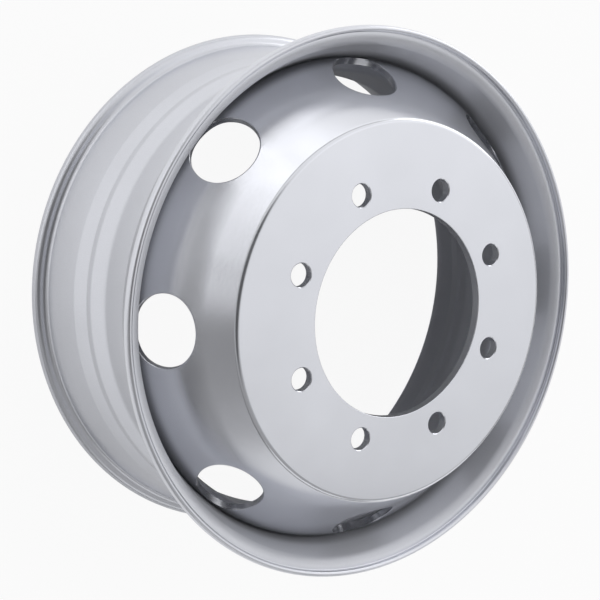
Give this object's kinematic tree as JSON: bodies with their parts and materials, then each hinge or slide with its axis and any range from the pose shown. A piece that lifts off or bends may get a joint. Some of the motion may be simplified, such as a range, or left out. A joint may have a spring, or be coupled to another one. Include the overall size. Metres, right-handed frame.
{
  "type": "disc wheel",
  "caption": "Steel disc wheel for a truck trailer: 15 degree drop-centre rim with a welded bowl disc, stud holes, hand holes and a hub bore, in silver paint.",
  "frame": {"origin": "on the wheel's axis, in the plane that the back flange rests on when the wheel lies flat", "axes": "+Z along the wheel's axis, from the back flange to the disc's mounting face; +X through one hand hole and the valve hole; +Y completes the right-handed frame"},
  "size_m": [0.5968, 0.5968, 0.2749],
  "materials": {
    "rim_paint": "semi-gloss silver paint",
    "disc_paint": "semi-gloss silver paint",
    "weld_paint": "silver paint over a weld bead"
  },
  "bodies": {
    "root": {"rim": "rim_paint", "disc": "disc_paint", "rim_weld": "weld_paint"}
  },
  "joints": []
}
